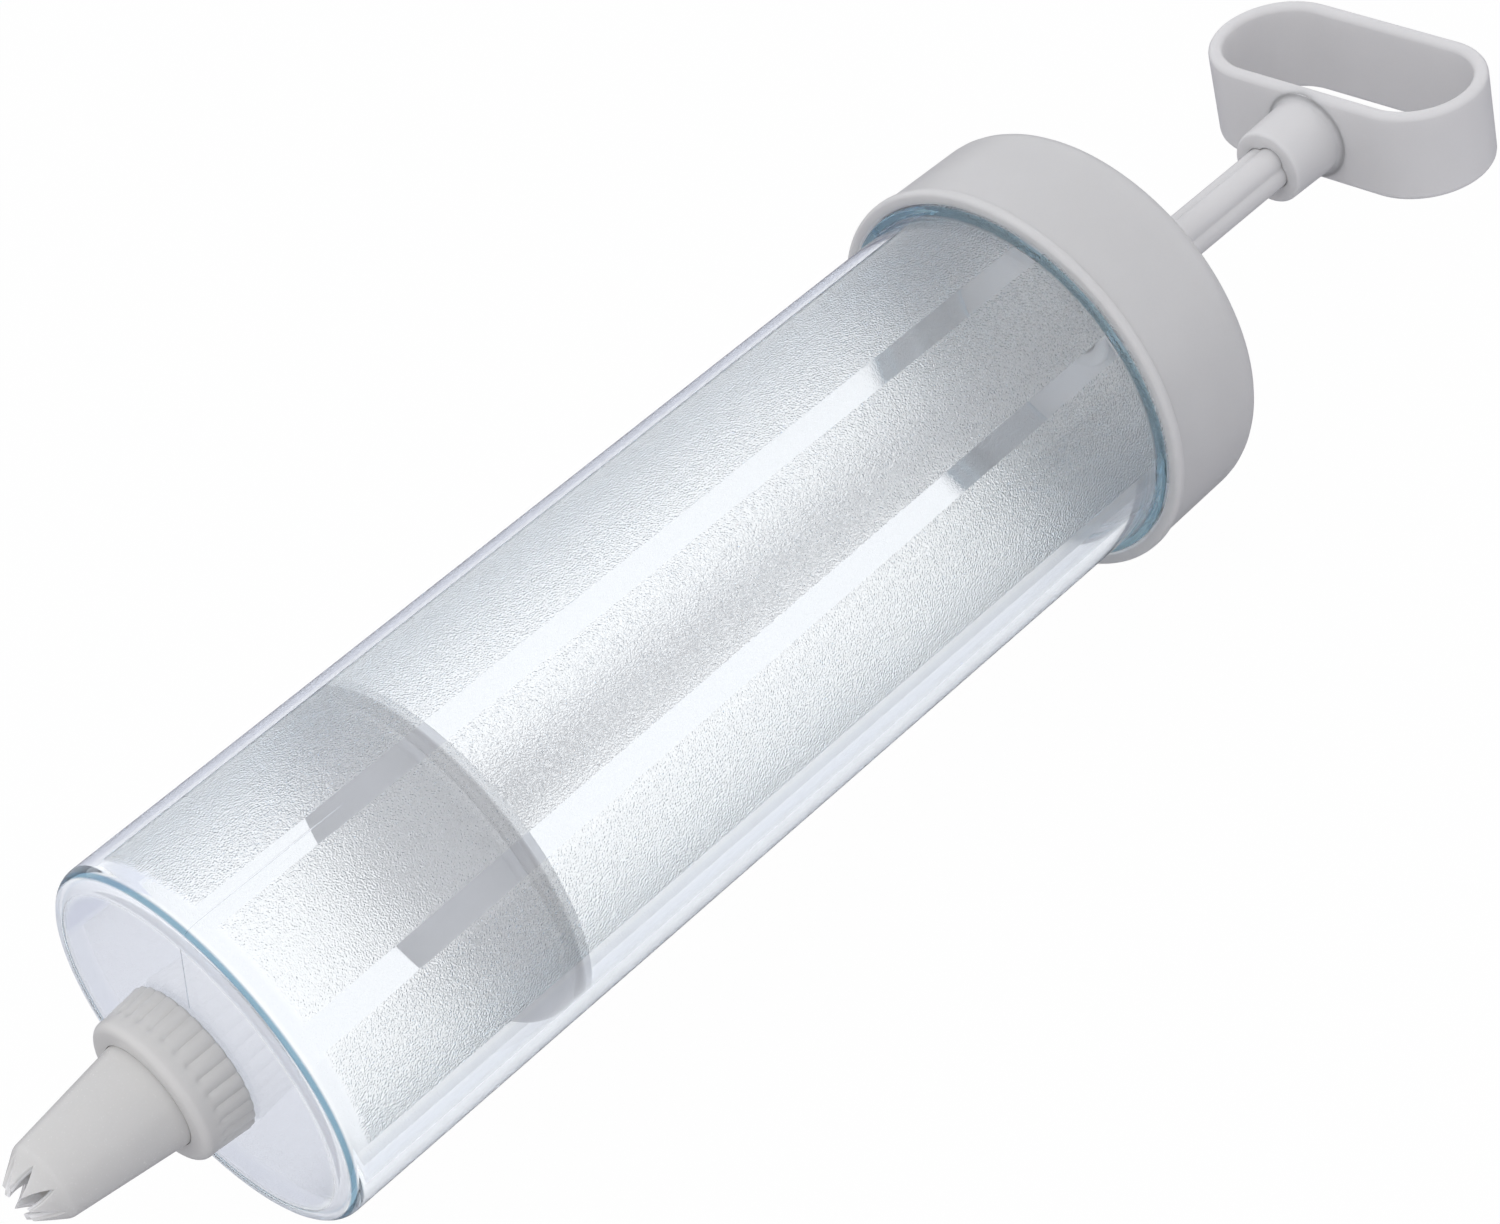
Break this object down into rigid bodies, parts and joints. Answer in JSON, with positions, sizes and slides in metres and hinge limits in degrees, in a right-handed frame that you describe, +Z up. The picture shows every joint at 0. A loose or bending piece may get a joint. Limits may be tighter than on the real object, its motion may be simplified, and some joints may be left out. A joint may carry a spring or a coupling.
{
  "type": "pastry syringe",
  "caption": "Hand syringe for piping icing: clear barrel, star nozzle held by a ribbed ring, bayonet end cap, and a plunger with a finger loop.",
  "frame": {"origin": "centre of the bounding box's base, under the middle of the whole length, where the cap's bead touches the surface", "axes": "+X along the barrel from the nozzle to the handle, +Z up along the hole of the finger loop"},
  "size_m": [0.257, 0.0584, 0.0585],
  "materials": {
    "clear_barrel": "clear, glossy outside, fine frosting inside with smooth stripes",
    "cap_grey": "satin moulded plastic",
    "plunger_grey": "satin moulded plastic",
    "milky_piston": "soft milky plastic",
    "nozzle_grey": "satin moulded plastic"
  },
  "bodies": {
    "barrel": {"barrel": "clear_barrel"},
    "cap": {"end_cap": "cap_grey"},
    "piston": {"piston": "milky_piston"},
    "plunger": {"plunger_rod": "plunger_grey", "handle": "plunger_grey"},
    "nozzle": {"star_nozzle": "nozzle_grey"},
    "coupling": {"coupling_ring": "nozzle_grey"}
  },
  "joints": [
    {"name": "cap_turn", "type": "hinge", "parent": "barrel", "child": "cap", "pos_m": [0.05, 0, 0.02924], "axis": [1, 0, 0], "range_deg": [0, 38]},
    {"name": "piston_slide", "type": "slide", "parent": "barrel", "child": "piston", "axis": [1, 0, 0], "range_m": [-0.0341, 0.1168]},
    {"name": "plunger_turn", "type": "hinge", "parent": "piston", "child": "plunger", "pos_m": [-0.06, 0, 0.02924], "axis": [1, 0, 0], "continuous": true},
    {"name": "nozzle_slide", "type": "slide", "parent": "barrel", "child": "nozzle", "axis": [-1, 0, 0], "range_m": [0, 0.0046]},
    {"name": "ring_turn", "type": "hinge", "parent": "nozzle", "child": "coupling", "pos_m": [-0.105, 0, 0.02924], "axis": [-1, 0, 0], "range_deg": [0, 720]}
  ],
  "couplings": [
    {"joint": "ring_turn", "follows": "nozzle_slide", "rad_per_m": 2731.8}
  ]
}
